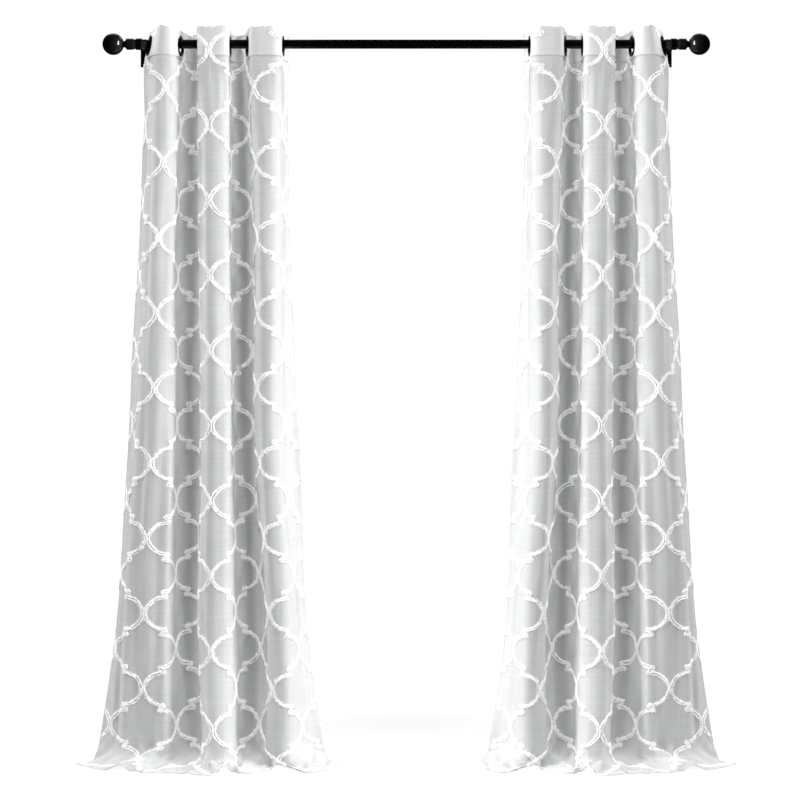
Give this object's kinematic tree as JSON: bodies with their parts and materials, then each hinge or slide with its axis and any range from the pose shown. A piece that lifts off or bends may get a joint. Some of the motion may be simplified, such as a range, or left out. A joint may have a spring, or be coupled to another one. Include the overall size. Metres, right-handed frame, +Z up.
{
  "type": "pair of sheer eyelet curtains on a curtain rod",
  "caption": "Pair of sheer white eyelet curtains, drawn open in soft folds on a black ball-ended rod, with their hems pooled on the floor.",
  "frame": {"origin": "centre of the footprint, on the floor that the hems lie on", "axes": "+X along the rod to the right as seen from the room, +Y back to the wall, +Z up"},
  "size_m": [1.83, 0.3169, 2.0412],
  "materials": {
    "voile": "sheer plain weave with an opaque woven trellis figure",
    "heading": "stiffened double band of the same cloth",
    "eyelet": "black satin",
    "rod": "black satin"
  },
  "bodies": {
    "root": {"rod": "rod", "finial_left": "rod", "bracket_left": "rod", "left_heading": "heading", "left_panel": "voile", "left_eyelet_1": "eyelet", "left_eyelet_2": "eyelet", "left_eyelet_3": "eyelet", "left_eyelet_4": "eyelet", "left_eyelet_5": "eyelet", "left_eyelet_6": "eyelet", "finial_right": "rod", "bracket_right": "rod", "right_heading": "heading", "right_panel": "voile", "right_eyelet_1": "eyelet", "right_eyelet_2": "eyelet", "right_eyelet_3": "eyelet", "right_eyelet_4": "eyelet", "right_eyelet_5": "eyelet", "right_eyelet_6": "eyelet"}
  },
  "joints": []
}
